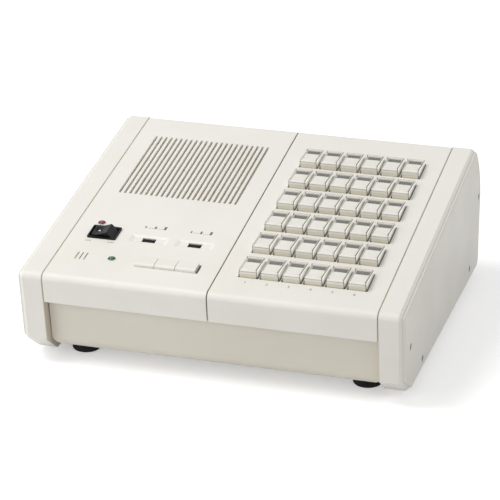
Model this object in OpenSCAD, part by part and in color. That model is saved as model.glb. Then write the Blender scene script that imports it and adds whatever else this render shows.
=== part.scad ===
/* [Console] */
// Overall width of the console, over both side plates
console_w = 341; // [338:0.5:420]
// Depth from the virtual front edge of the top face to the back wall
console_d = 322; // [310:1:380]
// Height of the virtual front edge of the top face above the table
front_h = 88.7; // [84:0.1:110]
// Slope of the top face, in degrees
slope = 8.7; // [6:0.1:11]
// Radius of the rounded front edge
front_r = 6; // [5:0.5:8]
// Radius of the big curve down the back
back_r = 80; // [70:1:82]
// Height above the table where that curve turns upright
back_turn_h = 72; // [66:1:74]
// Radius where the panels' top face turns into the back curve
crest_r = 8; // [6:0.5:10]
// The same radius on the end cheeks
cheek_crest_r = 2.5; // [1.5:0.25:5]
// Clearance between parts that fit together without touching
fit = 0.3; // [0.2:0.05:0.4]

/* [Cheeks] */
// Width of each end cheek, with its side plate
cheek_w = 22.5; // [20:0.25:26]
// Height of the cheek's underside above the table
cheek_lift = 6; // [4:0.5:8]
// Width of the chamfer along the outer edge of a cheek
cheek_edge = 2.5; // [1.5:0.25:3]
// Height of that chamfer
cheek_edge_drop = 1.7; // [1:0.1:2]
// Height of the cut-away under the cheek's nose
nose_cut_h = 17; // [12:0.5:22]
// Distance of the cut-away's foot behind the front
nose_cut_d = 34; // [28:1:40]
// Radius of the cheek's rear bottom corner
heel_r = 12; // [8:0.5:16]
// Thickness of a side plate
plate_t = 2.5; // [2:0.25:3]
// How far a side plate stays inside the cheek's outline
plate_inset = 2.4; // [2:0.1:4]
// Diameter of the screw recesses in the side plates
screw_recess_d = 6.6; // [6.2:0.1:8]
// Diameter of the side screws' heads
screw_head_d = 6; // [5:0.1:6]
// Diameter of the side screws' shanks
screw_d = 3; // [2.5:0.1:3.5]

/* [Top panels] */
// Wall thickness of both top panels
panel_t = 2.5; // [2:0.1:3]
// Width of the seams beside and between the panels
seam = 1; // [0.3:0.1:1.2]
// Height of the front lip, measured along the lip
lip_h = 27; // [22:0.5:32]
// How far below the start of the back curve the panels end
back_drop = 2; // [0:0.5:12]

/* [Base tray] */
// Wall thickness of the base tray
tray_t = 2.5; // [2:0.1:3]
// How far the tray's front stands behind the lip
tray_recess = 10; // [8:0.5:12]
// Height of the tray's underside above the table
tray_lift = 12; // [10:0.5:14]
// Radius under the tray's front
tray_r = 14; // [10:0.5:16]
// Radius of the tray's lower front corners, seen from the front
tray_corner_r = 12; // [8:0.5:14]
// Shadow gap between each side of the tray and the cheek beside it
tray_gap = 0.8; // [0.3:0.1:2]
// Diameter of a rubber foot
foot_d = 26; // [22:0.5:30]
// Distance of the feet's centres from the tray's sides
foot_in_x = 19.2; // [17:0.1:40]
// Distance of the front feet's centre behind the front
foot_front_y = 54; // [48:1:60]
// Distance of the rear feet's centre in front of the tray's back
foot_back_y = 39.2; // [38:0.1:60]

/* [Speaker] */
// Number of slots in the speaker grille
slot_count = 23; // [15:1:23]
// Distance between neighbouring grille slots
slot_pitch = 4.95; // [4:0.05:5]
// Width of a grille slot
slot_w = 2.3; // [1.5:0.1:2.5]
// Length of a grille slot
slot_len = 110; // [100:1:112]
// Distance of the grille's front end behind the front edge, along the slope
grille_s = 151; // [149:0.5:154]
// Outer diameter of the speaker
speaker_d = 102; // [90:1:104]

/* [Selector keys] */
// Distance between key columns
key_pitch_x = 19.05; // [18.8:0.05:19.4]
// Distance between key rows
key_pitch_s = 39; // [37:0.25:39.5]
// Extra distance of the front row from the others
key_row_extra = 2; // [0:0.5:3]
// Distance of the front row's front face behind the front edge, along the slope
key_front_s = 33.2; // [32:0.2:35]
// Distance of the key block's middle right of the panel's middle
key_block_shift = 0.6; // [0:0.1:2]
// Width of a key at the panel
key_w = 17.2; // [16:0.1:17.6]
// Length of a key at the panel
key_len = 28; // [26:0.5:30]
// Height of a key's front edge above the panel
key_h = 7.8; // [6.5:0.1:9]
// Height of a key's back edge above the panel
key_back_h = 5; // [4.2:0.1:6]
// Travel of a selector key
key_travel = 2.5; // [1.5:0.1:3]

/* [Controls] */
// Distance of the push key bank's left end from the middle
push_left_x = 74.2; // [70:0.1:78]
// Width of one push key
push_w = 18; // [16:0.1:18.2]
// Length of a push key, front to back
push_len = 13.4; // [11:0.1:14]
// Height of a push key above the panel
push_h = 3.2; // [2.8:0.1:5]
// Distance of the push keys' front face behind the front edge
push_s = 30.6; // [29:0.1:34]
// Travel of a push key
push_travel = 2.5; // [1.5:0.1:2.8]
// Width of the bank's slot beside the last push key
push_gap = 1.6; // [1:0.1:2.2]
// Width of the rocker switch's bezel
rocker_w = 26; // [24:0.2:28]
// Length of the rocker switch's bezel, front to back
rocker_len = 20.4; // [18:0.2:22]
// Tilt of the rocker to either side of level, in degrees
rocker_tilt = 10; // [7:0.5:10]
// Distance of the rocker's middle from the panel's end
rocker_in = 30; // [28:0.1:32]
// Distance of the rocker's middle behind the front edge
rocker_s = 78.8; // [76:0.1:80]
// Distance between the two slide controls
slide_span = 42; // [38:0.5:44]
// Distance of the first slide control left of the console's middle
slide_x = 75.8; // [75.4:0.1:77]
// Distance of the slide controls' middle behind the front edge
slide_s = 76.7; // [75:0.1:79]
// Width of the finger recess at a slide control
finger_w = 35; // [30:0.5:36]
// Length of the finger recess, front to back
finger_len = 12; // [11:0.5:13]
// Depth of the finger recess
finger_depth = 1.2; // [0.8:0.1:1.4]
// Width of the window in the finger recess
window_w = 12.4; // [12:0.1:13]
// Length of the window, front to back
window_len = 7; // [6.6:0.1:8]
// Travel of a slide knob to either side
slide_travel = 3; // [2:0.1:3]
// Diameter of an indicator lamp
led_d = 5; // [4.6:0.1:5.2]

/* [Hidden] */
$fn = 48;
arc_steps = 10;
small_steps = 6;
crest_steps = 6;
back_steps = 14;
heel_steps = 8;
eps = 0.01;
key_rows = 6;
key_cols = 6;
// Half length of a cutting tool that passes through any wall
through = 15;
half_w = console_w / 2;
panel_end_x = half_w - cheek_w - seam / 2;
cheek_in_x = half_w - cheek_w;
panel_mid_x = (panel_end_x + seam / 2) / 2;
plate_x = half_w - plate_t;

slot_end_sides = 20;

// The side outline, in the plane of depth and height, before it is centred
function arc(c, r, a0, a1, n = arc_steps) =
    [for (i = [0:n]) let (a = a0 + (a1 - a0) * i / n) c + r * [cos(a), sin(a)]];
function reversed(list) = [for (i = [len(list) - 1:-1:0]) list[i]];
along = [cos(slope), sin(slope)];
above = [-sin(slope), cos(slope)];
edge_point = [0, front_h];
function on_slope(s, n) = edge_point + s * along + n * above;
front_c = on_slope(front_r, -front_r);
back_c = [console_d - back_r, back_turn_h];
back_end_h = back_turn_h - back_drop;
back_s = (back_c - edge_point) * along;
back_n = (back_c - edge_point) * above;
function crest_reach(r) = sqrt(pow(back_r - r, 2) - pow(-r - back_n, 2));
function crest_c(r) = on_slope(back_s + crest_reach(r), -r);
function crest_a(r) = atan2(crest_c(r)[1] - back_c[1], crest_c(r)[0] - back_c[0]);
front_min = front_c[0] - front_r;
mid_y = (front_min + console_d) / 2;

// The line of the outer skin from the lip over the top and down the back
function over_top(crest, inset) = concat(
    arc(front_c, front_r - inset, 180 + slope, 90 + slope),
    arc(crest_c(crest), crest - inset, 90 + slope, crest_a(crest), crest_steps),
    arc(back_c, back_r - inset, crest_a(crest), 0, back_steps));
function skin(inset, lip, back_z) = concat(
    [on_slope(inset, -lip)], over_top(crest_r, inset), [[console_d - inset, back_z]]);

// Where the front face line lies at a height above the table
function front_at(z) = on_slope(0, -(front_h - z) / cos(slope));
least_crest_r = 0.4;
heel_c = [console_d - heel_r, cheek_lift + heel_r];
function cheek_outline(inset) = concat(
    [[nose_cut_d + inset, cheek_lift + inset],
     front_at(cheek_lift + nose_cut_h + inset) + [inset, 0]],
    over_top(max(cheek_crest_r, inset + least_crest_r), inset),
    arc(heel_c, heel_r - inset, 0, -90, heel_steps));

// Turns a drawing of the side view into a solid between two values of x
module side_extrude(x0, x1) {
    translate([x0, -mid_y, 0])
        rotate([90, 0, 90])
            linear_extrude(x1 - x0)
                children();
}

// Places children on the sloped top: y runs up the slope, z stands off the panel
module on_panel() {
    translate([0, -mid_y, front_h])
        rotate([slope, 0, 0])
            children();
}

module round_rect(w, d, r) {
    square([w - 2 * r, d], center = true);
    square([w, d - 2 * r], center = true);
    for (sx = [-1, 1], sy = [-1, 1])
        translate([sx * (w / 2 - r), sy * (d / 2 - r)])
            circle(r);
}

// A block with rounded upright corners, centred in x and y, between two heights
module block(w, d, r, z0, z1) {
    translate([0, 0, z0])
        linear_extrude(z1 - z0)
            round_rect(w, d, r);
}

module slot_shape(w, len) {
    square([w, len - w], center = true);
    for (end = [-1, 1])
        translate([0, end * (len - w) / 2])
            circle(w / 2, $fn = slot_end_sides);
}

// Screws through the side plates: place in the side view
screw_spots = [[28, 50.3], [77, 18], [console_d - 44, 20], [console_d - 11, 80]];
screw_len = 14;
screw_spare = 2;
screw_head_t = 1.4;
screw_cross_w = 0.8;
screw_cross = 3.2;
plate_land = 0.8;

module at_side_screws(side) {
    for (p = screw_spots)
        translate([side * half_w, p[0] - mid_y, p[1]])
            rotate([0, -side * 90, 0])
                children();
}

// End cheeks
cheek_wall = 12;
cheek_skin = 3;
cheek_boss_d = 9;

// The hollow that lightens a cheek from its inner side
function cheek_hollow() = concat(
    [[nose_cut_d + cheek_wall / 2, cheek_lift + cheek_wall],
     front_at(cheek_lift + nose_cut_h + cheek_wall / 2) + [cheek_wall, 0],
     on_slope(cheek_wall, -cheek_wall),
     on_slope(back_s + crest_reach(crest_r) - cheek_wall, -cheek_wall)],
    arc(back_c, back_r - cheek_wall, crest_a(crest_r) / 2, 0, heel_steps),
    [[console_d - cheek_wall, cheek_lift + cheek_wall]]);

module cheek(side) {
    difference() {
        mirror([side < 0 ? 1 : 0, 0, 0])
            union() {
                side_extrude(cheek_in_x, plate_x - cheek_edge)
                    polygon(cheek_outline(0));
                hull() {
                    side_extrude(plate_x - cheek_edge - eps, plate_x - cheek_edge)
                        polygon(cheek_outline(0));
                    side_extrude(plate_x - eps, plate_x)
                        polygon(cheek_outline(cheek_edge_drop));
                }
            }
        mirror([side < 0 ? 1 : 0, 0, 0])
            side_extrude(cheek_in_x - eps, plate_x - cheek_skin)
                difference() {
                    polygon(cheek_hollow());
                    for (p = screw_spots)
                        translate(p)
                            circle(d = cheek_boss_d);
                }
        at_side_screws(side)
            cylinder(d = screw_d + 2 * fit, h = screw_len + screw_spare);
    }
}

module left_cheek() {
    color("#EAE7E0") cheek(-1);
}

module right_cheek() {
    color("#EAE7E0") cheek(1);
}

plate_edge_r = 1.2;

module one_side_plate(side) {
    difference() {
        mirror([side < 0 ? 1 : 0, 0, 0])
            union() {
                side_extrude(plate_x, half_w - plate_edge_r)
                    polygon(cheek_outline(plate_inset));
                hull() {
                    side_extrude(half_w - plate_edge_r - eps, half_w - plate_edge_r)
                        polygon(cheek_outline(plate_inset));
                    side_extrude(half_w - plate_edge_r / 3, half_w - plate_edge_r / 3 + eps)
                        polygon(cheek_outline(plate_inset + plate_edge_r / 3));
                    side_extrude(half_w - eps, half_w)
                        polygon(cheek_outline(plate_inset + plate_edge_r));
                }
            }
        at_side_screws(side) {
            translate([0, 0, -eps])
                cylinder(d = screw_recess_d, h = plate_t - plate_land + eps);
            cylinder(d = screw_d + 2 * fit, h = plate_t + eps);
        }
    }
}

module side_plates() {
    color("#D9D6CE") {
        one_side_plate(-1);
        one_side_plate(1);
    }
}

module side_screws() {
    color("#8F8B84")
        for (side = [-1, 1])
            at_side_screws(side) {
                difference() {
                    translate([0, 0, plate_t - plate_land - screw_head_t])
                        cylinder(d = screw_head_d, h = screw_head_t);
                    translate([0, 0, plate_t - plate_land - screw_head_t])
                        for (turn = [0, 90])
                            rotate(turn)
                                cube([screw_cross_w, screw_cross, 2 * screw_cross_w], center = true);
                }
                translate([0, 0, plate_t - plate_land])
                    cylinder(d = screw_d, h = screw_len - plate_t);
            }
}

// Top panels
boss_d = 6.5;
board_n = -14;
board_t = 1.6;
grille_mid_s = grille_s + slot_len / 2;
grille_x = panel_mid_x;
rocker_x = panel_end_x - rocker_in;
control_posts = [for (x = [9.5 - panel_end_x, -16], s = [25, 104]) [x, s]];
selector_posts = [for (x = [13, panel_end_x - 10.5], s = [29, 148, 268]) [x, s]];
mic_x = 23 - panel_end_x;
mic_s = 38.2;
mic_d = 9.8;
mic_boot_d = 12.8;
mic_boot_n = -9;
mic_slot_w = 1.6;
mic_slot_len = 11.8;
mic_pitch = 4.1;
finger_ramp = 4;
finger_side_ramp = 2.4;
window_r = 0.6;
slot_r = 0.8;
power_led = [21.7 - panel_end_x, 95.5];
busy_led = [50.5 - panel_end_x, 38.5];
led_top = 1.8;
led_holder_d = 7;
push_seam = 0.5;
push_pitch = push_w + push_seam;
push_keys = 3;
bank_w = push_keys * push_pitch + push_gap;
slide_spots = [-slide_x, slide_span - slide_x];

module panel_skin(x0, x1) {
    side_extrude(x0, x1)
        polygon(concat(skin(0, lip_h, back_end_h), reversed(skin(panel_t, lip_h, back_end_h))));
}

// Posts under a panel that carry its circuit board
module posts(places) {
    for (p = places)
        translate([p[0], p[1], board_n])
            cylinder(d = boss_d, h = -board_n - panel_t + eps);
}

// A trough in the view along it: half width, depth and the width of its sloping ends
module trough_view(w, ramp) {
    polygon([
        [-w / 2, 0], [ramp - w / 2, -finger_depth], [w / 2 - ramp, -finger_depth],
        [w / 2, 0], [w / 2, through], [-w / 2, through]]);
}

// Finger recess, sloping in from all four sides
module finger_scoop() {
    intersection() {
        translate([0, finger_len / 2, 0])
            rotate([90, 0, 0])
                linear_extrude(finger_len)
                    trough_view(finger_w, finger_ramp);
        translate([-finger_w / 2, 0, 0])
            rotate([90, 0, 90])
                linear_extrude(finger_w)
                    trough_view(finger_len, finger_side_ramp);
    }
}

module control_panel() {
    color("#EDEBE6") {
        difference() {
            panel_skin(-panel_end_x, -seam / 2);
            on_panel() {
                for (i = [0:slot_count - 1])
                    translate([-grille_x + (i - slot_count / 2 + 0.5) * slot_pitch, grille_mid_s, -through])
                        linear_extrude(2 * through)
                            slot_shape(slot_w, slot_len);
                for (i = [-1:1])
                    translate([mic_x + i * mic_pitch, mic_s, -through])
                        linear_extrude(2 * through)
                            slot_shape(mic_slot_w, mic_slot_len);
                for (p = [power_led, busy_led])
                    translate([p[0], p[1], -through])
                        cylinder(d = led_d + 2 * fit, h = 2 * through);
                translate([-rocker_x, rocker_s, 0])
                    block(housing_w + 2 * fit, housing_len + 2 * fit, housing_r, -through, through);
                for (x = slide_spots)
                    translate([x, slide_s, 0]) {
                        finger_scoop();
                        block(window_w, window_len, window_r, -through, through);
                    }
                translate([-push_left_x - fit + (bank_w + fit) / 2, push_s + push_len / 2, 0])
                    block(bank_w + fit, push_len + 2 * fit, slot_r, -through, through);
            }
        }
        on_panel()
            posts(control_posts);
    }
}

// Selector keys
key_skirt = 3.5;
key_gap = fit + 0.1;
key_nose_r = 2.5;
key_back_lean = 1.2;
key_side_lean = 1;
key_wall = 1.5;
key_hollow_top = key_back_h - 2.6;
key_margin = 1;
label_w = 13;
label_len = 13.6;
label_depth = 0.7;
label_edge = 0.8;
well_w = 12.2;
well_len = 4;
well_depth = 2.2;
stem_d = 5;
stem_n = -10.5;
function key_s(row) = key_front_s + row * key_pitch_s + (row > 0 ? key_row_extra : 0);
key_first_x = panel_mid_x + key_block_shift - (key_cols - 1) / 2 * key_pitch_x;
function key_x(col) = key_first_x + col * key_pitch_x;
// Rows run a to f from the back, columns 1 to 6 from the left
key_letters = "abcdef";
function key_name(row, col) = str("key_", key_letters[key_rows - 1 - row], col + 1);

module at_keys() {
    for (row = [0:key_rows - 1], col = [0:key_cols - 1])
        translate([key_x(col), key_s(row), 0])
            children();
}

module selector_panel() {
    color("#EDEBE6") {
        difference() {
            panel_skin(seam / 2, panel_end_x);
            on_panel()
                at_keys()
                    translate([0, key_len / 2, 0])
                        block(key_w + 2 * key_gap, key_len + 2 * key_gap, slot_r, -through, through);
        }
        on_panel()
            posts(selector_posts);
    }
}

module key_side_view() {
    top_tilt = atan2(key_h - key_back_h, key_len - key_back_lean - key_nose_r);
    polygon(concat(
        [[0, -key_skirt]],
        arc([key_nose_r, key_h - key_nose_r], key_nose_r, 180, 90 - top_tilt, small_steps),
        [[key_len - key_back_lean, key_back_h], [key_len, 0], [key_len, -key_skirt]]));
}

module key_front_view() {
    polygon([
        [-key_w / 2, -key_skirt - key_margin], [key_w / 2, -key_skirt - key_margin], [key_w / 2, 0],
        [key_w / 2 - key_side_lean, key_h + key_margin],
        [key_side_lean - key_w / 2, key_h + key_margin], [-key_w / 2, 0]]);
}

// One selector key, its front bottom edge at the origin
module selector_key() {
    top_drop = (key_h - key_back_h) / (key_len - key_back_lean - key_nose_r);
    label_s = key_nose_r + label_edge;
    well_s = label_s + label_len + label_edge / 2;
    difference() {
        intersection() {
            rotate([90, 0, 90])
                translate([0, 0, -key_w])
                    linear_extrude(2 * key_w)
                        key_side_view();
            translate([0, key_len + key_margin, 0])
                rotate([90, 0, 0])
                    linear_extrude(key_len + 2 * key_margin)
                        key_front_view();
        }
        translate([0, label_s, key_h - label_depth])
            rotate([-atan(top_drop), 0, 0])
                translate([-label_w / 2, 0, 0])
                    cube([label_w, label_len, key_h]);
        translate([-well_w / 2, well_s, key_h - well_s * top_drop - well_depth])
            cube([well_w, well_len, key_h]);
        translate([0, key_len / 2, 0])
            block(key_w - 2 * key_wall, key_len - 2 * key_wall, slot_r, -through, key_hollow_top);
    }
    translate([0, key_len / 2, stem_n])
        cylinder(d = stem_d, h = key_hollow_top - stem_n + eps);
}

module key_at(row, col) {
    color("#E6E2D8")
        on_panel()
            translate([key_x(col), key_s(row), 0])
                selector_key();
}

// Boards with the switches soldered to them
switch_w = 14;
switch_n = -6.6;
switch_floor = 0.5;
switch_r = 1;
board_r = 2;
selector_board_mid = 148.5;
selector_board_len = 251;
control_board_mid = 64.5;
control_board_len = 88;
// Gaps between a board's ends and the cheek, and between a board and the middle seam
board_end = 6;
board_seam_gap = [12, 8];

// A board between two values of x
module board(x0, x1, mid, len) {
    translate([(x0 + x1) / 2, mid, 0])
        block(x1 - x0, len, board_r, board_n - board_t, board_n);
}

// A switch body with the bore that guides a key's stem
module switch_body(w, d, stem) {
    difference() {
        block(w, d, switch_r, board_n - eps, switch_n);
        translate([0, 0, board_n + switch_floor])
            cylinder(d = stem + 2 * fit, h = through);
    }
}

module selector_board() {
    color("#3F6B4A")
        on_panel() {
            board(board_seam_gap[1], panel_end_x - board_end, selector_board_mid, selector_board_len);
            at_keys()
                translate([0, key_len / 2, 0])
                    switch_body(switch_w, switch_w, stem_d);
        }
}

slide_body_w = 24;
slide_body_len = 9;
slide_body_floor = -9;
slide_stem_n = -8.4;
board_gap = 1;
shutter_lap = 1;
shutter_r = 0.8;
slide_knob_w = 6;
slide_knob_r = 0.5;
slide_knob_n = -finger_depth - 0.7;
slide_knob_len = 4.6;
rib_pitch = 1.6;
groove_w = 0.6;
groove_depth = 0.5;
shutter_n = -panel_t - fit;
shutter_t = 1;
shutter_w = window_w + 2 * slide_travel + 2 * shutter_lap;
shutter_len = window_len + 2 * shutter_lap;
slide_top_n = shutter_n - shutter_t - fit;
slide_stem = 3;
slide_slot_w = slide_stem + 2 * slide_travel + 2 * fit;
push_stem_d = 4.4;
push_switch_w = 11;

module control_board() {
    color("#3F6B4A")
        on_panel() {
            difference() {
                board(board_end - panel_end_x, -board_seam_gap[0], control_board_mid, control_board_len);
                translate([-rocker_x, rocker_s, 0])
                    block(housing_w + 2 * board_gap, housing_len + 2 * board_gap, housing_r,
                        -2 * through, 0);
            }
            for (i = [0:push_keys - 1])
                translate([-push_left_x + push_w / 2 + i * push_pitch, push_s + push_len / 2, 0])
                    switch_body(push_switch_w, push_switch_w, push_stem_d);
            for (x = slide_spots)
                translate([x, slide_s, 0])
                    difference() {
                        block(slide_body_w, slide_body_len, shutter_r, board_n - eps, slide_top_n);
                        block(slide_slot_w, slide_stem + 2 * fit, fit / 2, slide_body_floor, 0);
                    }
        }
}

// Push keys
push_skirt = 3.4;
push_nose_r = 2;
push_back_drop = 0.6;
push_wall = 1.5;
push_hollow_top = push_h - 2.2;
push_stem_n = -10.6;

module push_key(index) {
    color("#E9E5DC")
        on_panel()
            translate([-push_left_x + index * push_pitch, push_s, 0]) {
                difference() {
                    rotate([90, 0, 90])
                        linear_extrude(push_w)
                            polygon(concat(
                                [[0, -push_skirt]],
                                arc([push_nose_r, push_h - push_nose_r], push_nose_r, 180, 90, small_steps),
                                [[push_len, push_h - push_back_drop], [push_len, -push_skirt]]));
                    translate([push_w / 2, push_len / 2, 0])
                        block(push_w - 2 * push_wall, push_len - 2 * push_wall, slot_r,
                            -through, push_hollow_top);
                }
                translate([push_w / 2, push_len / 2, push_stem_n])
                    cylinder(d = push_stem_d, h = push_hollow_top - push_stem_n + eps);
            }
}

// Rocker switch
housing_w = 24.2;
housing_len = 18.8;
well_half = 11.9;
rocker_half = 10.6;
rocker_thick = 16.2;
rocker_well = rocker_thick + 2 * fit;
pivot_n = -5;
pivot_d = 3;
pin_reach = 0.7;
bezel_h = 1.5;
housing_n = -22;
housing_r = 1;
bezel_r = 1.2;
well_r = 0.4;
well_n = -13;
rocker_foot_half = 4.5;
rocker_foot_n = -8;
wing_low_n = -1.6;
wing_draft = 0.5;
ridge_x = 1;
ridge_n = 5;
wing_n = 1.4;

module rocker_housing() {
    color("#17171A")
        on_panel()
            translate([-rocker_x, rocker_s, 0])
                difference() {
                    union() {
                        block(housing_w, housing_len, housing_r, housing_n, eps);
                        block(rocker_w, rocker_len, bezel_r, 0, bezel_h);
                    }
                    block(2 * well_half, rocker_well, well_r, well_n, bezel_h + eps);
                    translate([0, (rocker_well + 2 * pin_reach + 2 * fit) / 2, pivot_n])
                        rotate([90, 0, 0])
                            cylinder(d = pivot_d + 2 * fit, h = rocker_well + 2 * pin_reach + 2 * fit);
                }
}

module power_rocker() {
    color("#0E0E10")
        on_panel()
            translate([-rocker_x, rocker_s, pivot_n])
                rotate([90, rocker_tilt, 0]) {
                    translate([0, 0, -rocker_thick / 2])
                        linear_extrude(rocker_thick)
                            translate([0, -pivot_n])
                                polygon([
                                    [-rocker_half, wing_n], [wing_draft - rocker_half, wing_low_n],
                                    [-rocker_foot_half, rocker_foot_n], [rocker_foot_half, rocker_foot_n],
                                    [rocker_half - wing_draft, wing_low_n],
                                    [rocker_half, wing_n], [ridge_x, ridge_n]]);
                    translate([0, 0, -rocker_thick / 2 - pin_reach])
                        cylinder(d = pivot_d, h = rocker_thick + 2 * pin_reach);
                }
}

// Slide knobs, each with the dust shutter that closes its window
module slide_knob(x) {
    color("#141416")
        on_panel()
            translate([x, slide_s, 0]) {
                block(shutter_w, shutter_len, shutter_r, shutter_n - shutter_t, shutter_n);
                difference() {
                    block(slide_knob_w, slide_knob_len, slide_knob_r,
                        shutter_n - eps, slide_knob_n);
                    for (i = [-1:1])
                        translate([i * rib_pitch - groove_w / 2, -through, slide_knob_n - groove_depth])
                            cube([groove_w, 2 * through, groove_depth + eps]);
                }
                translate([-slide_stem / 2, -slide_stem / 2, slide_stem_n])
                    cube([slide_stem, slide_stem, shutter_n - shutter_t - slide_stem_n + eps]);
            }
}

// Indicator lamps, each on the spacer that carries it over the board
module indicator(place) {
    on_panel()
        translate([place[0], place[1], 0]) {
            translate([0, 0, board_n])
                cylinder(d = led_d, h = led_top - led_d / 2 - board_n);
            translate([0, 0, led_top - led_d / 2])
                sphere(d = led_d);
            translate([0, 0, board_n])
                cylinder(d = led_holder_d, h = -panel_t - board_n);
        }
}

module power_lamp() {
    color("#6B1418") indicator(power_led);
}

module busy_lamp() {
    color("#0F6B3C") indicator(busy_led);
}

module microphone() {
    color("#8C8C88")
        on_panel()
            translate([mic_x, mic_s, board_n]) {
                cylinder(d = mic_d, h = mic_boot_n - board_n + eps);
                translate([0, 0, mic_boot_n - board_n])
                    cylinder(d = mic_boot_d, h = -panel_t - mic_boot_n);
            }
}

// Speaker, drawn downwards from the panel's underside
rim_w = 3;
rim_t = 2.5;
shelf_n = -1.5;
shelf_w = 5.4;
basket_t = 1.4;
basket_foot_r = 23;
basket_foot_n = -24.5;
magnet_r = 22;
magnet_n = -38;
magnet_h = 14;
basket_windows = 4;
window_size = [18, 20, 13];
cone_neck = [14, -19];
cone_cap = [8, -14.6];
cone_dome_n = -13.6;
cone_t = 0.9;

module speaker_basket() {
    r = speaker_d / 2;
    color("#6E7074")
        on_panel()
            translate([-grille_x, grille_mid_s, -panel_t - fit])
                difference() {
                    union() {
                        rotate_extrude($fn = 64)
                            polygon([
                                [r, 0], [r, -rim_t], [r - rim_w, -rim_t],
                                [basket_foot_r, basket_foot_n + 2 * basket_t],
                                [basket_foot_r, basket_foot_n], [0, basket_foot_n],
                                [0, basket_foot_n + basket_t],
                                [basket_foot_r - basket_t, basket_foot_n + basket_t],
                                [basket_foot_r - basket_t, basket_foot_n + 2 * basket_t],
                                [r - shelf_w, -rim_t + eps], [r - shelf_w, shelf_n],
                                [r - rim_w, shelf_n], [r - rim_w, 0]]);
                        translate([0, 0, magnet_n])
                            cylinder(r = magnet_r, h = magnet_h);
                    }
                    for (i = [0:basket_windows - 1])
                        rotate((i + 0.5) * 360 / basket_windows)
                            translate([basket_foot_r + 1, -window_size[1] / 2, -window_size[0] - 1])
                                cube(window_size);
                }
}

module speaker_cone() {
    r = speaker_d / 2;
    color("#3A352F")
        on_panel()
            translate([-grille_x, grille_mid_s, -panel_t - fit])
                rotate_extrude($fn = 64)
                    polygon([
                        [r - rim_w - fit, shelf_n + cone_t], [r - rim_w - fit, shelf_n],
                        [r - shelf_w, shelf_n], cone_neck, cone_cap,
                        [0, cone_dome_n], [0, cone_dome_n + cone_t],
                        cone_cap + [0, cone_t], cone_neck + [0, cone_t],
                        [r - shelf_w - cone_t, shelf_n + cone_t]]);
}

// Base tray: front, floor, rear wall and low side walls in one piece
tray_half = cheek_in_x - tray_gap;
tray_back_y = console_d - panel_t - fit;
tray_heel_r = 8;
tray_step = 4;
tray_back_top = back_turn_h + 2;
tray_c_s = tray_recess + tray_r;
tray_c_n = (tray_lift + tray_r - front_h - tray_c_s * sin(slope)) / cos(slope);
tray_c = on_slope(tray_c_s, tray_c_n);
tray_heel_c = [tray_back_y - tray_heel_r, tray_lift + tray_heel_r];
function tray_outline(inset) = concat(
    [on_slope(tray_recess + inset, -panel_t - fit)],
    arc(tray_c, tray_r - inset, 180 + slope, 270, heel_steps),
    arc(tray_heel_c, tray_heel_r - inset, 270, 360, small_steps),
    [[tray_back_y - inset, tray_back_top]]);
side_wall_h = 36;
cable_slot = [46, 9];
cable_slot_h = 30;
vents = 10;
vent_pitch = 7;
vent_w = 2.6;
vent_len = 26;
vent_first_x = 60;
vent_h = 40;

// The tray's front view, its lower corners rounded
module tray_front_view(inset) {
    r = tray_corner_r - inset;
    half = tray_half - inset;
    translate([-half, tray_lift + inset + r])
        square([2 * half, 2 * front_h]);
    translate([-half + r, tray_lift + inset])
        square([2 * (half - r), r + eps]);
    for (side = [-1, 1])
        translate([side * (half - r), tray_lift + inset + r])
            circle(r);
}

module tray_solid(inset) {
    intersection() {
        side_extrude(-half_w, half_w)
            polygon(tray_outline(inset));
        rotate([90, 0, 0])
            translate([0, 0, -console_d])
                linear_extrude(2 * console_d)
                    tray_front_view(inset);
    }
}

terminal_y = tray_back_y - 29;
transformer_at = [43 - tray_half, tray_back_y - 73];
foot_screw_d = 4;
foot_edge = 1.2;
foot_recess_d = 10;
foot_recess_h = 5;
foot_places = [for (side = [-1, 1], row = [0, 1])
    [side * (tray_half - foot_in_x), row == 0 ? foot_front_y : tray_back_y - foot_back_y]];

module base_tray() {
    color("#D2CFC4")
        difference() {
            tray_solid(0);
            tray_solid(tray_t);
            // The side walls stop low, so that the cheeks close the sides
            side_extrude(-half_w, half_w)
                polygon([
                    [tray_c[0] + tray_step, side_wall_h],
                    [tray_back_y - tray_heel_r - tray_step, side_wall_h],
                    [tray_back_y - tray_heel_r - tray_step, 2 * front_h],
                    [tray_c[0] + tray_step, 2 * front_h]]);
            // Slot for the station cables in the rear wall
            translate([0, tray_back_y - mid_y + through, cable_slot_h])
                rotate([90, 90, 0])
                    linear_extrude(2 * through)
                        slot_shape(cable_slot[1], cable_slot[0]);
            // Air slots in the rear wall
            for (side = [-1, 1], i = [0:vents - 1])
                translate([side * (vent_first_x + vent_pitch * i), tray_back_y - mid_y + through, vent_h])
                    rotate([90, 0, 0])
                        linear_extrude(2 * through)
                            slot_shape(vent_w, vent_len);
            for (p = foot_places)
                translate([p[0], p[1] - mid_y, 0])
                    cylinder(d = foot_screw_d, h = 2 * through);
        }
}

module rubber_feet() {
    color("#1B1B1C")
        for (p = foot_places)
            translate([p[0], p[1] - mid_y, 0])
                difference() {
                    rotate_extrude()
                        polygon([
                            [0, 0], [foot_d / 2 - foot_edge, 0], [foot_d / 2 - foot_edge / 4, foot_edge],
                            [foot_d / 2, tray_lift - foot_edge], [foot_d / 2 - foot_edge, tray_lift],
                            [0, tray_lift]]);
                    translate([0, 0, -eps])
                        cylinder(d = foot_recess_d, h = foot_recess_h);
                    cylinder(d = foot_screw_d, h = 2 * through);
                }
}

floor_h = tray_lift + tray_t;
core = [44, 22, 37];
strap = [64, 18, 1.5];
coil = [28, 38, 23];
coil_h = 7;
coil_r = 3;

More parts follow.
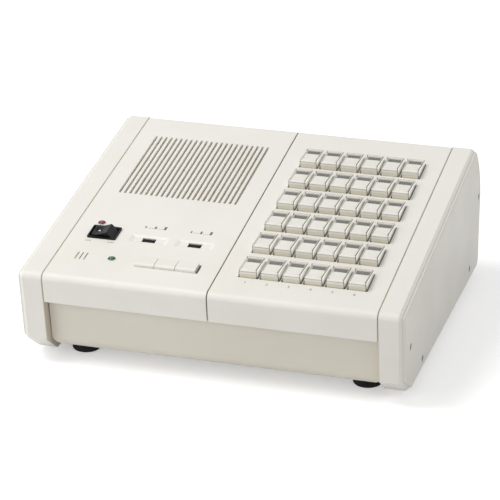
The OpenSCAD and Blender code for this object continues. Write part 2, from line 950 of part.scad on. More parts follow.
// Core, coil and mounting strap
module transformer() {
    color("#8A6E52")
        translate([transformer_at[0], transformer_at[1] - mid_y, floor_h]) {
            block(strap[0], strap[1], board_r, 0, strap[2]);
            translate([-core[0] / 2, -core[1] / 2, 0])
                cube(core);
            difference() {
                block(coil[0], coil[1], coil_r, coil_h, coil_h + coil[2]);
                translate([-core[0] / 2, -core[1] / 2, 0])
                    cube(core);
            }
        }
}

terminal_wells = 19;
terminal_pitch = 9;
terminal_x = 20;
terminal_len = 26;
terminal_h = 12;
well_d = 6;
well_floor_h = 5;

module rear_terminals() {
    color("#2A2A2E")
        translate([terminal_x, terminal_y - mid_y, floor_h])
            difference() {
                block((terminal_wells + 1) * terminal_pitch, terminal_len, board_r, 0, terminal_h);
                for (i = [0:terminal_wells - 1], row = [-1, 1])
                    translate([
                        (i - terminal_wells / 2 + 0.5) * terminal_pitch,
                        row * terminal_len / 4,
                        well_floor_h])
                        cylinder(d = well_d, h = terminal_h, $fn = 24);
            }
}

key_nodes = [for (row = [key_rows - 1:-1:0], col = [0:key_cols - 1]) key_name(row, col)];

left_cheek();
right_cheek();
side_plates();
side_screws();
control_panel();
selector_panel();
base_tray();
rubber_feet();
speaker_basket();
speaker_cone();
power_rocker();
rocker_housing();
power_lamp();
busy_lamp();
slide_knob(slide_spots[0]);  // volume_slider
slide_knob(slide_spots[1]);  // tone_slider
push_key(0);  // push_key_left
push_key(1);  // push_key_middle
push_key(2);  // push_key_right
control_board();
selector_board();
microphone();
transformer();
rear_terminals();
for (row = [0:key_rows - 1], col = [0:key_cols - 1])
    key_at(row, col);
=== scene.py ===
import math

import bmesh
import bpy
from mathutils import Matrix, Vector


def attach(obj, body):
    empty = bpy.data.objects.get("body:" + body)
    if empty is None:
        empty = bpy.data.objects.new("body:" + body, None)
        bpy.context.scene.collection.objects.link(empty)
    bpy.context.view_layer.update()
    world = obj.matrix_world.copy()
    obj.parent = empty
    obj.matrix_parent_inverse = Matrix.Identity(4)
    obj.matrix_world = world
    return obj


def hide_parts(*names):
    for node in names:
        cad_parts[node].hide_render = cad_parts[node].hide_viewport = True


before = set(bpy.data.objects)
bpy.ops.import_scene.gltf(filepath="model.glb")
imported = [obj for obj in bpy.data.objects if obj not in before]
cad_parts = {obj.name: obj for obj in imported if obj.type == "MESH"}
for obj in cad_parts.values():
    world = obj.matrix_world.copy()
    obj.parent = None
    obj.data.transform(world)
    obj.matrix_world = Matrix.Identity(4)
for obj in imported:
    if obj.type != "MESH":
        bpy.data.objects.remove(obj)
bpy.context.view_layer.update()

MM = 0.001
SLOPE = math.radians(8.7)
FRONT_H = 88.7 * MM
MID_Y = 161.419264 * MM
# Takes a point given as across, up the slope and off the panel to its place on the console
PANEL = Matrix.Translation((0, -MID_Y, FRONT_H)) @ Matrix.Rotation(SLOPE, 4, "X")

# From here on pieces are drawn in millimetres, and placed() turns them into metres.
# Places on the panel, across and up the slope
SWITCH = (-117.5, 78.8)
SWITCH_WORDS = {"on": (-128, 64), "off": (-107, 64.4)}
POWER_LAMP = (-125.8, 95.5)
BUSY_LAMP = (-97, 38.5)
MICROPHONE = (-124.5, 38.2)
GRILLE = (-74, 206)
SLIDE_SCALES_X = (-76.0, -34.0)
SLIDE_SCALE_S = 94.8
NUMBERS_S = 26

# Where sheets lie just under the panel, and print just over it
UNDER_PANEL = -2.56
PRINT_N = 0.03

# Where the panels and the cheeks meet, to either side of the middle
PANEL_JOINTS = (0, 147.75)
CHEEK_JOINTS = (147.75,)

# Station keys: rows are lettered from the back, columns numbered from the left
KEY_ROWS = "fedcba"
KEY_COLUMNS = 6
KEY_FIRST_X = 26.975
KEY_PITCH = 19.05
KEY_FIRST_S = 33.2
ROW_PITCH = 39
FIRST_ROW_GAP = 2

# The key's cover: its width at the foot, length, heights at the front and back, and front edge
KEY_W = 17.2
KEY_LEN = 28.0
KEY_H = 7.8
KEY_BACK_H = 5.0
KEY_BACK_LEAN = 1.2
KEY_TAPER = 8.8
COVER_EDGE_R = 2.3
COVER_FOOT = -3.0
COVER_T = 0.9
TOP_START = 2.5
TILT = math.degrees(math.atan2(KEY_H - KEY_BACK_H, KEY_LEN - KEY_BACK_LEAN - TOP_START))

# The cap under the cover: how far it lies below it, its front, round edge, well and sides
CAP_DROP = 1.15
CAP_FRONT = 0.3
CAP_FOOT = -3.4
CAP_EDGE_R = 1.5
CAP_HALF_W = 7.3
WELL_HALF_W = 6.1
WELL_START = 17.5
WELL_END = 25.2
WELL_RAMP = [(17.6, 1.4), (19.7, 1.9), (22.9, 3.15), (24.5, 3.8)]

LABEL_HALF_W = 7
LABEL_T = 0.14
LABEL_GAP = 0.12

# The rocker: half its width and length, its ridge, its dish and the pin that it tilts on
ROCKER_HALF = (10.6, 8.1)
ROCKER_RIDGE_X = 2.6
ROCKER_RIM_H = 1.2
ROCKER_RISE = 5.1
DISH_X = -5.6
DISH_HALF = (4.2, 5.6)
DISH_DEPTH = 1.5
ROCKER_PIN_N = 5
ROCKER_REST = math.radians(10)


def key_x(col):
    return KEY_FIRST_X + col * KEY_PITCH


def key_s(row):
    return KEY_FIRST_S + row * ROW_PITCH + (FIRST_ROW_GAP if row else 0)


# ---------------------------------------------------------------- finishes

def linear(hex_colour):
    def one(pair):
        v = int(pair, 16) / 255
        return v / 12.92 if v <= 0.04045 else ((v + 0.055) / 1.055) ** 2.4
    h = hex_colour.lstrip("#")
    return (one(h[0:2]), one(h[2:4]), one(h[4:6]), 1)


def shade(colour, k):
    return (colour[0] * k, colour[1] * k, colour[2] * k, 1)


class Finish:
    """A node material built up in layers from object coordinates."""

    def __init__(self, name, colour, rough=0.5, metallic=0.0, specular=0.5):
        self.name = name
        self.mat = bpy.data.materials.new(name)
        self.mat.use_nodes = True
        self.tree = self.mat.node_tree
        self.nodes = self.tree.nodes
        self.bsdf = self.nodes["Principled BSDF"]
        self.base = linear(colour)
        self.bsdf.inputs["Base Color"].default_value = self.base
        self.bsdf.inputs["Roughness"].default_value = rough
        self.bsdf.inputs["Metallic"].default_value = metallic
        self.bsdf.inputs["Specular IOR Level"].default_value = specular
        self.rough = rough
        self.coords = self.nodes.new("ShaderNodeTexCoord")
        self.normal = None

    def link(self, a, b):
        self.tree.links.new(a, b)

    def noise(self, scale, detail=3.0, stretch=None):
        tex = self.nodes.new("ShaderNodeTexNoise")
        tex.inputs["Scale"].default_value = scale
        tex.inputs["Detail"].default_value = detail
        tex.inputs["Roughness"].default_value = 0.55
        source = self.coords.outputs["Object"]
        if stretch:
            mapping = self.nodes.new("ShaderNodeMapping")
            mapping.inputs["Scale"].default_value = stretch
            self.link(source, mapping.inputs["Vector"])
            source = mapping.outputs["Vector"]
        self.link(source, tex.inputs["Vector"])
        return tex.outputs["Fac"]

    def spread(self, value, low, high, a, b):
        """Turns the span from low to high into the span from a to b."""
        node = self.nodes.new("ShaderNodeMapRange")
        node.inputs["From Min"].default_value = low
        node.inputs["From Max"].default_value = high
        node.inputs["To Min"].default_value = a
        node.inputs["To Max"].default_value = b
        self.link(value, node.inputs["Value"])
        return node.outputs["Result"]

    def arith(self, operation, value, other=None):
        node = self.nodes.new("ShaderNodeMath")
        node.operation = operation
        self.link(value, node.inputs[0])
        if other is not None:
            node.inputs[1].default_value = other
        return node.outputs["Value"]

    def attribute(self, name):
        node = self.nodes.new("ShaderNodeAttribute")
        node.attribute_name = name
        return node.outputs["Fac"]

    def blend(self, mask, other):
        """Lays another colour over the base colour, as far as the mask says."""
        mix = self.nodes.new("ShaderNodeMix")
        mix.data_type = "RGBA"
        self.link(mask, mix.inputs["Factor"])
        sock = self.bsdf.inputs["Base Color"]
        if sock.is_linked:
            self.link(sock.links[0].from_socket, mix.inputs["A"])
        else:
            mix.inputs["A"].default_value = self.base
        mix.inputs["B"].default_value = linear(other) if isinstance(other, str) else other
        self.link(mix.outputs["Result"], sock)
        return self

    def mottle(self, scale, other, amount, low=0.35, high=0.7):
        """Blends the colour towards another in soft patches."""
        return self.blend(self.spread(self.noise(scale), low, high, 0, amount), other)

    def painted_shade(self, attribute, other):
        """Painted shade: darkens the colour where an attribute of the mesh says so."""
        return self.blend(self.attribute(attribute), other)

    def painted_glow_and_foot_shade(self, attribute, strength, foot_shade_colour):
        """Painted glow: emission that stands in for light a clear moulding carries to its upper edges,
        and painted shade that darkens its foot.
        """
        height = self.attribute(attribute)
        glow = self.spread(height, 0.3, 0.85, 0, strength)
        self.link(glow, self.bsdf.inputs["Emission Strength"])
        self.bsdf.inputs["Emission Color"].default_value = (0.9, 0.89, 0.86, 1)
        return self.blend(self.spread(height, 0.12, 0.5, 0.9, 0), foot_shade_colour)

    def seam_shade(self, places, colour, amount):
        """Painted shade, in brown, along the joints between the panels and the cheeks."""
        split = self.nodes.new("ShaderNodeSeparateXYZ")
        self.link(self.coords.outputs["Object"], split.inputs["Vector"])
        across = self.arith("ABSOLUTE", split.outputs["X"])
        for place in places:
            near = self.arith("ABSOLUTE", self.arith("SUBTRACT", across, place * MM))
            self.blend(self.spread(near, 0.6 * MM, 1.1 * MM, amount, 0), colour)
        return self

    def polish(self, scale, swing):
        """Lets the roughness wander, as handling leaves it."""
        out = self.spread(self.noise(scale, 4), 0.3, 0.7,
                          max(self.rough - swing, 0.02), min(self.rough + swing, 1))
        self.link(out, self.bsdf.inputs["Roughness"])
        return self

    def grain(self, scale, strength, depth=0.05, stretch=None, cells=False):
        """Fine relief, as deep as depth in millimetres, over what relief there is."""
        if cells:
            tex = self.nodes.new("ShaderNodeTexVoronoi")
            tex.inputs["Scale"].default_value = scale
            self.link(self.coords.outputs["Object"], tex.inputs["Vector"])
            height = tex.outputs["Distance"]
        else:
            height = self.noise(scale, 2.0, stretch)
        bump = self.nodes.new("ShaderNodeBump")
        bump.inputs["Strength"].default_value = strength
        bump.inputs["Distance"].default_value = depth * MM
        self.link(height, bump.inputs["Height"])
        if self.normal:
            self.link(self.normal, bump.inputs["Normal"])
        self.normal = bump.outputs["Normal"]
        self.link(self.normal, self.bsdf.inputs["Normal"])
        return self


def moulded(name, colour, rough=0.5, texture=0.35):
    """Spark-textured moulded plastic, yellowed a little in patches."""
    f = Finish(name, colour, rough)
    f.mottle(7, shade(f.base, 0.93), 0.55)
    f.mottle(16, "#DCCFAE", 0.12, 0.5, 0.75)
    f.mottle(900, shade(f.base, 0.9), 0.25, 0.55, 0.7)
    f.polish(28, 0.09)
    f.grain(1500, texture, 0.06)
    f.grain(5200, texture * 0.5, 0.02)
    return f


def housing_finishes():
    # The brown #C6B8A5 along the joints is painted shade in the seams.
    yield moulded("panel", "#E9E6DF", 0.48).seam_shade(PANEL_JOINTS, "#C6B8A5", 0.7)
    yield moulded("cheek", "#E8E5DE", 0.5).seam_shade(CHEEK_JOINTS, "#C6B8A5", 0.7)
    yield moulded("tray", "#E0DBCE", 0.55, 0.45)

    m = Finish("side_plate", "#DFDBD2", 0.42)
    m.mottle(6, shade(m.base, 0.94), 0.5).mottle(1100, shade(m.base, 0.92), 0.2, 0.55, 0.7)
    yield m.polish(22, 0.08).grain(900, 0.22, 0.05).grain(14, 0.05, 0.4)

    m = Finish("screw", "#9A958C", 0.34, metallic=1.0)
    yield m.mottle(260, "#6B655B", 0.6).polish(500, 0.12).grain(2600, 0.25, 0.03)

    m = Finish("foot", "#161617", 0.82, specular=0.3)
    m.mottle(90, "#2A2A2A", 0.6).mottle(26, "#3A3835", 0.25, 0.5, 0.75)
    yield m.polish(60, 0.08).grain(700, 0.5, 0.1).grain(3000, 0.35, 0.04)


def control_finishes():
    yield moulded("push_key", "#E8E4DB", 0.36, 0.12)
    yield moulded("lamp_collar", "#C4C1B9", 0.4, 0.1)

    m = Finish("rocker", "#060607", 0.38, specular=0.2)
    yield m.mottle(80, "#101012", 0.6).polish(45, 0.09).grain(900, 0.05, 0.02)

    m = Finish("rocker_housing", "#060607", 0.45, specular=0.18)
    yield m.mottle(120, "#131315", 0.6).polish(70, 0.1).grain(2400, 0.35, 0.04)

    m = Finish("slide_knob", "#070708", 0.55, specular=0.25)
    yield m.mottle(300, "#101012", 0.6).polish(160, 0.1).grain(2600, 0.4, 0.04)

    for name, colour, glow in (("red_lamp", "#6E0F14", "#A31A20"), ("green_lamp", "#0B5C36", "#138A52")):
        m = Finish(name, colour, 0.12)
        m.bsdf.inputs["Coat Weight"].default_value = 0.6
        yield m.mottle(420, glow, 0.5).polish(300, 0.05).grain(1400, 0.05, 0.02)

    m = Finish("ink", "#56544F", 0.6)
    yield m.mottle(2400, "#85827A", 0.8, 0.45, 0.65).polish(800, 0.1).grain(2400, 0.2, 0.02)

    m = Finish("white_mark", "#E9E9E6", 0.5)
    yield m.mottle(1500, "#C9C8C2", 0.6).polish(800, 0.1).grain(2400, 0.2, 0.02)


def key_finishes():
    # 1B1815 is painted shade in the wells of the key caps.
    yield moulded("cap", "#E2DCCA", 0.42, 0.1).painted_shade("painted_shade", "#1B1815")

    m = Finish("label", "#EEEBE4", 0.75, specular=0.25)
    yield m.mottle(160, "#E6E1D5", 0.35).polish(200, 0.08).grain(2600, 0.3, 0.02)

    # The side walls' finish is a whiter, more opaque copy of the clear cover, a painted highlight for
    # light in the clear walls; #4E4A43 is painted shade at their foot.
    for name, colour, other, alpha in (("cover", "#F2F1EC", "#E2E0D6", 0.09),
                                       ("cover_edge_shade", "#34312C", "#4A4640", 0.9),
                                       ("cover_side", "#EDEBE4", "#DAD7CE", 0.7)):
        m = Finish(name, colour, 0.12)
        m.bsdf.inputs["Alpha"].default_value = alpha
        m.mottle(300, other, 0.5).polish(120, 0.05).grain(500, 0.03, 0.02)
        if name == "cover_side":
            m.painted_glow_and_foot_shade("painted_glow_height", 0.5, "#4E4A43")
        yield m


def inner_finishes():
    m = Finish("speaker_frame", "#5E6063", 0.42, metallic=0.6)
    yield m.mottle(60, "#484A4D", 0.5).polish(90, 0.12).grain(1200, 0.2, 0.04)

    m = Finish("speaker_cone", "#2F2B27", 0.9, specular=0.2)
    yield m.mottle(180, "#4A443C", 0.6).polish(60, 0.06).grain(900, 0.7, 0.15).grain(240, 0.3, 0.2)

    m = Finish("board", "#2E5A3C", 0.38)
    m.mottle(110, "#20452D", 0.7).mottle(14, "#4C7A4B", 0.3)
    yield m.polish(70, 0.1).grain(1400, 0.2, 0.03)

    m = Finish("microphone", "#A9A9A5", 0.4, metallic=1.0)
    yield m.mottle(300, "#7C7B76", 0.4).polish(400, 0.12).grain(3000, 0.3, 0.03)

    m = Finish("transformer", "#56402F", 0.5)
    yield m.mottle(50, "#7A5C3F", 0.6).polish(60, 0.15).grain(1800, 0.5, 0.08, stretch=(1, 1, 6))

    m = Finish("terminals", "#26262A", 0.5)
    yield m.mottle(150, "#36363A", 0.5).polish(90, 0.1).grain(2000, 0.35, 0.04)

    m = Finish("felt", "#DACBBA", 0.95, specular=0.15)
    yield m.mottle(700, "#C2B2A0", 0.6).polish(100, 0.04).grain(1800, 0.8, 0.12)

    m = Finish("cloth", "#C6BBAD", 0.95, specular=0.15)
    yield m.mottle(500, "#A79C8D", 0.6).polish(100, 0.04).grain(1400, 0.8, 0.15, cells=True)


FINISH = {f.name: f.mat
          for group in (housing_finishes, control_finishes, key_finishes, inner_finishes)
          for f in group()}

# The finish of each node of the frame; the station keys have the cap's
NODE_FINISH = {
    "left_cheek": "cheek", "right_cheek": "cheek",
    "side_plates": "side_plate", "side_screws": "screw",
    "control_panel": "panel", "selector_panel": "panel",
    "base_tray": "tray", "rubber_feet": "foot",
    "power_rocker": "rocker", "rocker_housing": "rocker_housing",
    "power_lamp": "red_lamp", "busy_lamp": "green_lamp",
    "volume_slider": "slide_knob", "tone_slider": "slide_knob",
    "push_key_left": "push_key", "push_key_middle": "push_key", "push_key_right": "push_key",
    "speaker_basket": "speaker_frame", "speaker_cone": "speaker_cone",
    "control_board": "board", "selector_board": "board",
    "microphone": "microphone", "transformer": "transformer", "rear_terminals": "terminals"}


def dress_frame():
    for node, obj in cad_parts.items():
        obj.data.materials.clear()
        obj.data.materials.append(FINISH[NODE_FINISH.get(node, "cap")])


# ---------------------------------------------------------------- making pieces

def placed(bm, x, s):
    """Puts a piece drawn in millimetres at its place on the panel."""
    bmesh.ops.scale(bm, vec=(MM, MM, MM), verts=bm.verts)
    bmesh.ops.translate(bm, vec=(x * MM, s * MM, 0), verts=bm.verts)
    bmesh.ops.transform(bm, matrix=PANEL, verts=bm.verts)
    return bm


def add(name, bm, finish, body, smooth=35, others=()):
    """Turns a finished bmesh into an object that rides on a body."""
    bmesh.ops.remove_doubles(bm, verts=bm.verts, dist=1e-6)
    bmesh.ops.recalc_face_normals(bm, faces=bm.faces)
    mesh = bpy.data.meshes.new(name)
    bm.to_mesh(mesh)
    bm.free()
    obj = bpy.data.objects.new(name, mesh)
    bpy.context.scene.collection.objects.link(obj)
    for p in mesh.polygons:
        p.use_smooth = True
    mesh.set_sharp_from_angle(angle=math.radians(smooth))
    for one in (finish, *others):
        mesh.materials.append(FINISH[one])
    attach(obj, body)
    return obj


def arc(cx, cy, r, a0, a1, n):
    return [(cx + r * math.cos(math.radians(a0 + (a1 - a0) * i / n)),
             cy + r * math.sin(math.radians(a0 + (a1 - a0) * i / n))) for i in range(n + 1)]


def prism(bm, profile, x0, x1):
    """A solid with the same side view all the way from x0 to x1."""
    left = [bm.verts.new((x0, s, n)) for s, n in profile]
    right = [bm.verts.new((x1, s, n)) for s, n in profile]
    count = len(profile)
    for i in range(count):
        j = (i + 1) % count
        bm.faces.new((left[i], left[j], right[j], right[i]))
    bm.faces.new(left[::-1])
    bm.faces.new(right)


def block(bm, middle, size, heights, edge):
    """A block with softened edges, given its middle, its size and its two heights."""
    verts = bmesh.ops.create_cube(bm, size=1)["verts"]
    bmesh.ops.scale(bm, vec=(size[0], size[1], heights[1] - heights[0]), verts=verts)
    bmesh.ops.translate(bm, vec=(middle[0], middle[1], (heights[0] + heights[1]) / 2), verts=verts)
    edges = [e for e in bm.edges if e.verts[0] in verts]
    bmesh.ops.bevel(bm, geom=edges, offset=edge, segments=2, affect="EDGES", profile=0.5)


def sheet(bm, middle, half, pieces, thickness):
    """A thin square sheet just under the panel."""
    bmesh.ops.create_grid(bm, x_segments=pieces, y_segments=pieces, size=half)
    bmesh.ops.translate(bm, vec=(*middle, UNDER_PANEL), verts=bm.verts)
    bmesh.ops.solidify(bm, geom=bm.faces[:], thickness=thickness)


def turned(profile, closed):
    """A ring turned from its side view; a closed view makes it solid."""
    bm = bmesh.new()
    line = [bm.verts.new((r, 0, n)) for r, n in profile]
    pairs = list(zip(line, line[1:]))
    if closed:
        pairs.append((line[-1], line[0]))
    edges = [bm.edges.new(pair) for pair in pairs]
    bmesh.ops.spin(bm, geom=line + edges, cent=(0, 0, 0), axis=(0, 0, 1), angle=2 * math.pi,
                   steps=40, use_merge=True)
    return bm


# ---------------------------------------------------------------- station keys

def key_half_width(n):
    return KEY_W / 2 - (max(n, 0) / KEY_TAPER)


def key_top_at(s):
    return KEY_H - (s - TOP_START) * math.tan(math.radians(TILT))


def cover_mesh():
    """Clear cover: an open-fronted hood with thin walls."""
    bm = bmesh.new()
    edge = arc(COVER_EDGE_R, KEY_H - COVER_EDGE_R, COVER_EDGE_R, 180, 90 - TILT, 6)
    outer = edge + [(KEY_LEN - KEY_BACK_LEAN, KEY_BACK_H), (KEY_LEN, 0.2), (KEY_LEN, COVER_FOOT)]
    side_l = [bm.verts.new((-key_half_width(n), s, n)) for s, n in outer]
    side_r = [bm.verts.new((key_half_width(n), s, n)) for s, n in outer]
    for i in range(len(outer) - 1):
        bm.faces.new((side_l[i], side_l[i + 1], side_r[i + 1], side_r[i]))
    foot_half = key_half_width(COVER_FOOT)
    low_l = bm.verts.new((-foot_half, 0, COVER_FOOT))
    low_r = bm.verts.new((foot_half, 0, COVER_FOOT))
    bm.faces.new(side_l[::-1] + [low_l])
    bm.faces.new(side_r + [low_r])
    bmesh.ops.recalc_face_normals(bm, faces=bm.faces)
    if sum(f.normal.z * f.calc_area() for f in bm.faces) < 0:
        bmesh.ops.reverse_faces(bm, faces=bm.faces)
    bmesh.ops.solidify(bm, geom=bm.faces[:], thickness=COVER_T)
    mark_cover(bm)
    sharp = [e for e in bm.edges if e.is_manifold and e.calc_face_angle() > math.radians(50)]
    # The bevels get the dark edge finish, #34312C: painted shade outlining the clear cover's edges.
    bmesh.ops.bevel(bm, geom=sharp, offset=0.4, offset_type="OFFSET", segments=2, affect="EDGES",
                    profile=0.5, material=1)
    return bm


def mark_cover(bm):
    """Gives the side walls their own finish, with a painted glow and a painted shade at the foot, and
    marks how high each point lies.
    """
    for f in bm.faces:
        f.normal_update()
        front_end = f.normal.y < -0.7 and abs(f.calc_center_median().x) > 7.2
        if abs(f.normal.x) > 0.7 or front_end:
            f.material_index = 2
    painted_glow_height = bm.verts.layers.float.new("painted_glow_height")
    for v in bm.verts:
        v[painted_glow_height] = max(0, min(1, (v.co.z - COVER_FOOT) / 10))


def cap_nose():
    """The cap's round front edge."""
    middle = KEY_H - CAP_DROP - CAP_EDGE_R
    return [(s - 0.3, n) for s, n in arc(2.1, middle, CAP_EDGE_R, 180, 90 - TILT, 5)]


def cap_mesh():
    """Cream key cap: a ledge for the label, and behind it a well that ramps up to the back, darkened
    with painted shade.
    """
    bm = bmesh.new()
    front = [(CAP_FRONT, CAP_FOOT), (CAP_FRONT, 5.35)] + cap_nose()
    back = [(26.2, key_top_at(26.2) - CAP_DROP), (26.9, 0.5), (26.9, CAP_FOOT)]
    well = [(WELL_START, key_top_at(WELL_START) - CAP_DROP), *WELL_RAMP,
            (WELL_END, key_top_at(WELL_END) - CAP_DROP)]
    prism(bm, front + well + back, -WELL_HALF_W, WELL_HALF_W)
    prism(bm, front + back, -CAP_HALF_W, -WELL_HALF_W)
    prism(bm, front + back, WELL_HALF_W, CAP_HALF_W)
    # The well's floor and ramp carry painted shade, nearly black up to 23 mm and a little lighter
    # behind.
    painted_shade = bm.verts.layers.float.new("painted_shade")
    for v in bm.verts:
        if abs(v.co.x) < WELL_HALF_W + 0.1 and 17.55 < v.co.y < 24.6:
            v[painted_shade] = 0.97 if v.co.y < 23 else 0.88
    return bm


def label_mesh():
    """Blank label card, bent over the front edge of the cap under the cover."""
    bm = bmesh.new()
    line = [(CAP_FRONT, 5.45)] + cap_nose() + [(k, key_top_at(k) - CAP_DROP) for k in (7, 11, 14, 17.3)]
    sides = [[bm.verts.new((x, s - (LABEL_GAP if i < 3 else 0), n + LABEL_GAP))
              for i, (s, n) in enumerate(line)]
             for x in (-LABEL_HALF_W, 0, LABEL_HALF_W)]
    for a, b in zip(sides, sides[1:]):
        for i in range(len(line) - 1):
            bm.faces.new((a[i], a[i + 1], b[i + 1], b[i]))
    bmesh.ops.recalc_face_normals(bm, faces=bm.faces)
    bmesh.ops.solidify(bm, geom=bm.faces[:], thickness=LABEL_T)
    return bm


def build_keys():
    masters = {"cover": cover_mesh(), "cap": cap_mesh(), "label": label_mesh()}
    more = {"cover": ("cover_edge_shade", "cover_side")}
    for row, letter in enumerate(KEY_ROWS):
        for col in range(KEY_COLUMNS):
            key = f"key_{letter}{col + 1}"
            for part, master in masters.items():
                bm = placed(master.copy(), key_x(col), key_s(row))
                obj = add(f"{key}_{part}", bm, part, key, 30, more.get(part, ()))
                if part == "cap":
                    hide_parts(key)
    for master in masters.values():
        master.free()


# ---------------------------------------------------------------- rocker

def rocker_top(x, y):
    """Height of the rocker: two slopes that meet in a ridge, a soft rim and a dish."""
    half_x, half_y = ROCKER_HALF
    if x < ROCKER_RIDGE_X:
        n = ROCKER_RIM_H + ROCKER_RISE * ((x + half_x) / (ROCKER_RIDGE_X + half_x)) ** 1.7
    else:
        n = ROCKER_RIM_H + ROCKER_RISE * ((half_x - x) / (half_x - ROCKER_RIDGE_X)) ** 1.15
    edge = max(abs(x) / half_x, abs(y) / half_y)
    n -= 0.35 * max(0, (edge - 0.93) / 0.07) ** 2
    dish = ((x - DISH_X) / DISH_HALF[0]) ** 2 + (y / DISH_HALF[1]) ** 2
    return n - DISH_DEPTH * max(0, 1 - dish) ** 1.2


def rocker_mesh():
    """The rocker's top, its sides and its narrower foot."""
    bm = bmesh.new()
    half_x, half_y = ROCKER_HALF
    nx, ny = 60, 28
    rows = []
    for j in range(ny + 1):
        y = -half_y + 2 * half_y * j / ny
        across = [-half_x + 2 * half_x * i / nx for i in range(nx + 1)]
        rows.append([bm.verts.new((x, y, rocker_top(x, y))) for x in across])
    for j in range(ny):
        for i in range(nx):
            bm.faces.new((rows[j][i], rows[j][i + 1], rows[j + 1][i + 1], rows[j + 1][i]))
    ring = rows[0] + [r[-1] for r in rows[1:]] + rows[-1][-2::-1] + [r[0] for r in rows[-2:0:-1]]
    low = [bm.verts.new((v.co.x * 0.96, v.co.y, -1.6)) for v in ring]
    deep = [bm.verts.new((max(-4.5, min(4.5, v.co.x)), v.co.y, -8)) for v in ring]
    for upper, lower in ((ring, low), (low, deep)):
        for k in range(len(ring)):
            m = (k + 1) % len(ring)
            if (upper[k].co - upper[m].co).length > 1e-6:
                bm.faces.new((upper[k], upper[m], lower[m], lower[k]))
    bm.faces.new(deep[::-1])
    return bm


def dot_mesh():
    """Small round mark in the dish."""
    bm = bmesh.new()
    bmesh.ops.create_circle(bm, cap_ends=True, radius=1.0, segments=28)
    bmesh.ops.translate(bm, vec=(DISH_X, 0, 1.2), verts=bm.verts)
    return bm


def build_rocker():
    """Rocker with a dished half and a plain half, as it lies at rest."""
    to_pin = Matrix.Translation((0, 0, ROCKER_PIN_N))
    at_pin = Matrix.Translation((*SWITCH, -ROCKER_PIN_N))
    swing = at_pin @ Matrix.Rotation(ROCKER_REST, 4, "Y") @ to_pin
    shell = rocker_mesh()
    bmesh.ops.transform(shell, matrix=swing, verts=shell.verts)
    obj = add("rocker_shell", placed(shell, 0, 0), "rocker", "power_rocker", 40)
    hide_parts("power_rocker")

    dot = dot_mesh()
    bmesh.ops.transform(dot, matrix=swing, verts=dot.verts)
    bmesh.ops.solidify(dot, geom=dot.faces[:], thickness=0.25)
    add("rocker_dot", placed(dot, 0, 0), "white_mark", "power_rocker")


# ---------------------------------------------------------------- printing on the panels

def print_text(name, words, x, s, height):
    curve = bpy.data.curves.new(name, "FONT")
    curve.body = words
    curve.size = height / 0.7
    curve.align_x = "CENTER"
    curve.align_y = "CENTER"
    curve.resolution_u = 3
    holder = bpy.data.objects.new(name + "_line", curve)
    bpy.context.scene.collection.objects.link(holder)
    bpy.context.view_layer.update()
    mesh = bpy.data.meshes.new_from_object(holder.evaluated_get(bpy.context.evaluated_depsgraph_get()))
    bpy.data.objects.remove(holder)
    bm = bmesh.new()
    bm.from_mesh(mesh)
    bpy.data.meshes.remove(mesh)
    for v in bm.verts:
        v.co.z = PRINT_N
    add(name, placed(bm, x, s), "ink", "console")


def strip(bm, x0, s0, x1, s1):
    corners = ((x0, s0), (x1, s0), (x1, s1), (x0, s1))
    bm.faces.new([bm.verts.new((x, s, PRINT_N)) for x, s in corners])


def print_scale(name, x):
    """Scale over a slide: three bars that grow to the right, with three dots between each two."""
    bm = bmesh.new()
    bar_pitch, dot_pitch = 8.9, 2.1
    for k in range(3):
        middle = x + bar_pitch * (k - 1)
        half = (1.2 + 0.5 * k) / 2
        strip(bm, middle - half, SLIDE_SCALE_S, middle + half, SLIDE_SCALE_S + 3.4 + 1.0 * k)
        if k < 2:
            for d in (-1, 0, 1):
                dot_x = x + bar_pitch * (k - 0.5) + dot_pitch * d
                strip(bm, dot_x - 0.5, SLIDE_SCALE_S + 0.2, dot_x + 0.5, SLIDE_SCALE_S + 0.9)
    add(name, placed(bm, 0, 0), "ink", "console")


def build_printing():
    for col in range(KEY_COLUMNS):
        print_text(f"column_number_{col + 1}", str(col + 1), key_x(col) - 0.4, NUMBERS_S, 3.3)
    for word, place in SWITCH_WORDS.items():
        print_text(f"switch_{word}", word.upper(), *place, 2.4)
    for n, x in enumerate(SLIDE_SCALES_X):
        print_scale(f"slide_scale_{n + 1}", x)


# ---------------------------------------------------------------- cloth, felt and lamp rings

def build_cloth():
    """Dust cloth behind the grille slots, between the panel and the speaker's rim."""
    bm = bmesh.new()
    sheet(bm, GRILLE, 57.5, 12, 0.2)
    add("speaker_cloth", placed(bm, 0, 0), "cloth", "console")


def build_microphone_felt():
    """Felt pad behind the three microphone slots, with a ridge that stands up in each."""
    bm = bmesh.new()
    sheet(bm, MICROPHONE, 6.6, 6, 0.3)
    slot_pitch = 4.1
    for k in (-1, 0, 1):
        middle = (MICROPHONE[0] + slot_pitch * k, MICROPHONE[1])
        block(bm, middle, (1.5, 11.2), (-2.6, -0.8), 0.35)
    add("microphone_felt", placed(bm, 0, 0), "felt", "console")


def build_lamp_rings():
    """A rim round each lamp in its own colour, and a thin collar pressed into the panel."""
    rim = [(2.56, -1.0), (2.56, 0.5), (2.9, 0.85), (3.2, 0.5), (3.2, 0.1)]
    collar = [(3.22, 0.03), (3.22, 0.42), (3.4, 0.5), (3.62, 0.36), (3.85, 0.03)]
    for name, lamp, place in (("power", "red_lamp", POWER_LAMP), ("busy", "green_lamp", BUSY_LAMP)):
        add(name + "_rim", placed(turned(rim, False), *place), lamp, "console", 50)
        add(name + "_collar", placed(turned(collar, True), *place), "lamp_collar", "console", 50)


# ---------------------------------------------------------------- studio

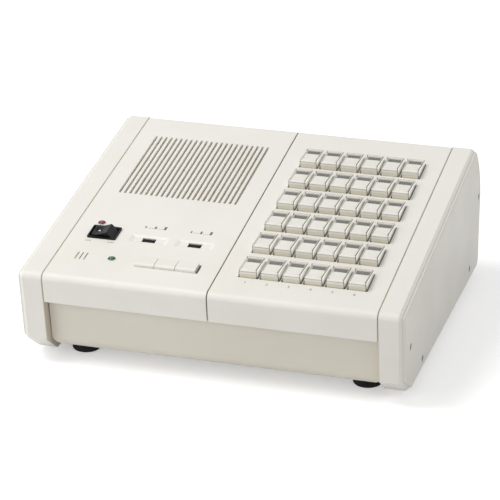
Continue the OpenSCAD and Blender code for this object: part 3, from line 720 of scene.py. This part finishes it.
def area_light(name, place, target, size, power, colour=(1, 1, 1)):
    data = bpy.data.lights.new(name, "AREA")
    data.shape = "RECTANGLE"
    data.size, data.size_y = size
    data.energy = power
    data.color = colour
    obj = bpy.data.objects.new(name, data)
    bpy.context.scene.collection.objects.link(obj)
    obj.location = place
    obj.rotation_euler = (Vector(target) - Vector(place)).to_track_quat("-Z", "Y").to_euler()


def build_lamps():
    area_light("key", (-1.25, -0.6, 2.25), (0, 0, 0.08), (1.2, 1.2), 37.5, (1, 1, 0.997))
    area_light("front", (-1.1, -1.5, 0.8), (-0.05, -0.1, 0.05), (0.9, 0.7), 6.5)
    area_light("right", (2.4, 0.1, 1.1), (0.1, 0, 0.06), (1.5, 1.2), 6.8, (0.95, 0.98, 1))


def seen_rays(tree):
    """1 for the rays that show the background: straight, mirrored or through clear plastic."""
    path = tree.nodes.new("ShaderNodeLightPath")
    seen = path.outputs["Is Camera Ray"]
    for name in ("Is Glossy Ray", "Is Transmission Ray"):
        either = tree.nodes.new("ShaderNodeMath")
        either.operation = "MAXIMUM"
        tree.links.new(seen, either.inputs[0])
        tree.links.new(path.outputs[name], either.inputs[1])
        seen = either.outputs["Value"]
    return seen


def build_floor():
    """Pale floor that looks white and still shows the console's shadow."""
    bm = bmesh.new()
    bmesh.ops.create_grid(bm, x_segments=2, y_segments=2, size=6)
    mesh = bpy.data.meshes.new("floor")
    bm.to_mesh(mesh)
    bm.free()
    floor = bpy.data.objects.new("floor", mesh)
    bpy.context.scene.collection.objects.link(floor)
    mat = bpy.data.materials.new("floor")
    mat.use_nodes = True
    tree = mat.node_tree
    bsdf = tree.nodes["Principled BSDF"]
    bsdf.inputs["Base Color"].default_value = (0.82, 0.82, 0.82, 1)
    bsdf.inputs["Roughness"].default_value = 0.9
    bsdf.inputs["Specular IOR Level"].default_value = 0.1
    bsdf.inputs["Emission Color"].default_value = (1, 1, 1, 1)
    gain = tree.nodes.new("ShaderNodeMath")
    gain.operation = "MULTIPLY"
    gain.inputs[1].default_value = 0.42
    tree.links.new(seen_rays(tree), gain.inputs[0])
    tree.links.new(gain.outputs["Value"], bsdf.inputs["Emission Strength"])
    floor.data.materials.append(mat)


def build_backdrop():
    """Even light from all round, and a white background where it is seen."""
    world = bpy.data.worlds.new("studio")
    bpy.context.scene.world = world
    world.use_nodes = True
    tree = world.node_tree
    background = tree.nodes["Background"]
    level = tree.nodes.new("ShaderNodeMapRange")
    level.inputs["To Min"].default_value = 0.45
    level.inputs["To Max"].default_value = 1.0
    tree.links.new(seen_rays(tree), level.inputs["Value"])
    background.inputs["Color"].default_value = (1, 1, 1, 1)
    tree.links.new(level.outputs["Result"], background.inputs["Strength"])


def build_camera():
    """The camera, from the angle of the photograph."""
    scene = bpy.context.scene
    data = bpy.data.cameras.new("camera")
    data.sensor_width = 36
    data.lens = 171.5
    data.clip_start = 0.05
    camera = bpy.data.objects.new("camera", data)
    scene.collection.objects.link(camera)
    az, el = -0.28644737, 0.39101384
    camera.location = (0.5532, -1.747091 - MID_Y, 0.884397)
    ahead = Vector((math.sin(az) * math.cos(el), math.cos(az) * math.cos(el), -math.sin(el)))
    camera.rotation_euler = ahead.to_track_quat("-Z", "Y").to_euler()
    scene.camera = camera
    scene.render.resolution_x = 500
    scene.render.resolution_y = 500
    scene.view_settings.view_transform = "Standard"


dress_frame()
build_keys()
build_rocker()
build_printing()
build_cloth()
build_microphone_felt()
build_lamp_rings()
build_floor()
build_backdrop()
build_lamps()
build_camera()
